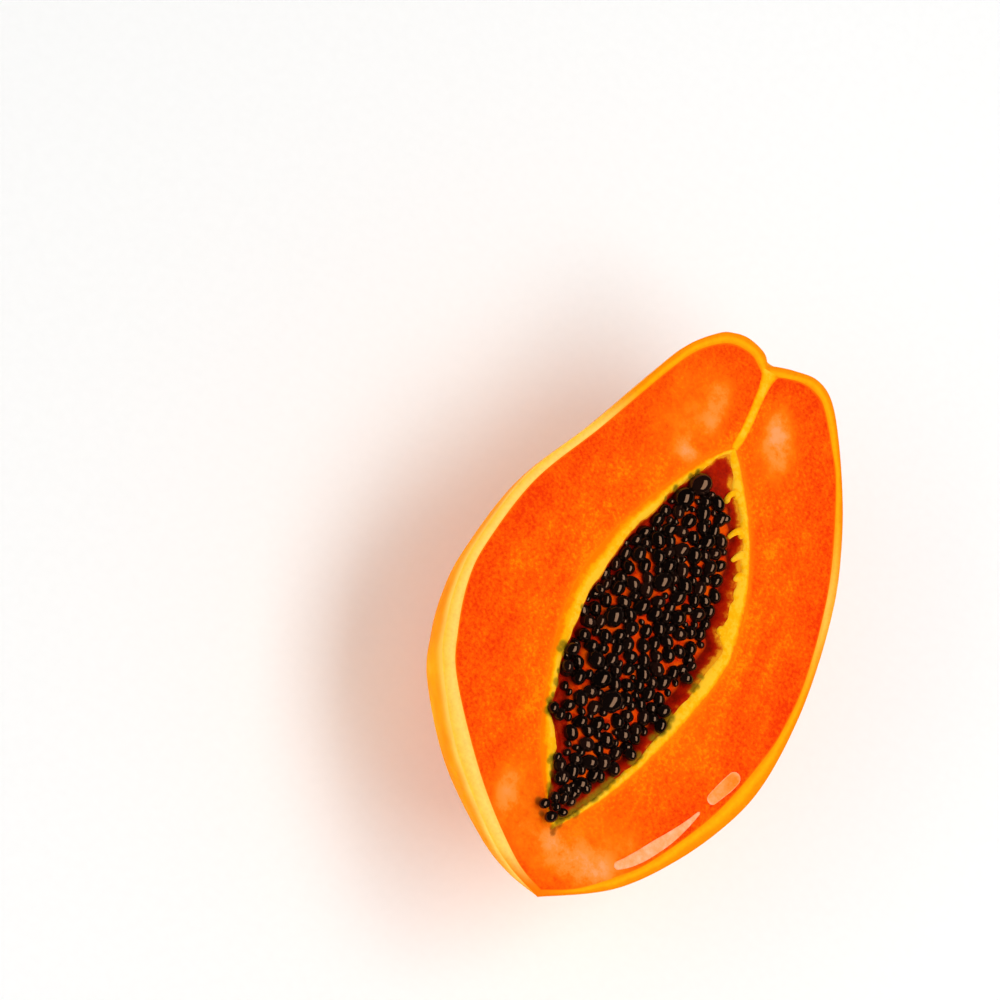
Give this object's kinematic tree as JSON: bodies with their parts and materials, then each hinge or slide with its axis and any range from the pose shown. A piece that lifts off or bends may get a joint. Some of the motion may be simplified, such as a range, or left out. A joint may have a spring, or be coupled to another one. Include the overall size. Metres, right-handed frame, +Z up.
{
  "type": "papaya half",
  "caption": "Half a ripe papaya cut lengthwise: golden rind, orange flesh, and a yellow-lined cavity heaped with glossy black seeds, lying cut face up.",
  "frame": {"origin": "the middle of the part's footprint, at the level of the flat spot that it lies on", "axes": "+Y from the blossom end towards the stem end, +Z up out of the cut face, +X to the right when the stem end points away"},
  "size_m": [0.1398, 0.226, 0.0698],
  "materials": {
    "rind_gold": "satin",
    "flesh_orange": "satin",
    "lining_yellow": "matte",
    "seed_black": "gloss"
  },
  "bodies": {
    "root": {"rind": "rind_gold", "flesh": "flesh_orange", "cavity_lining": "lining_yellow", "seeds": "seed_black"}
  },
  "joints": []
}
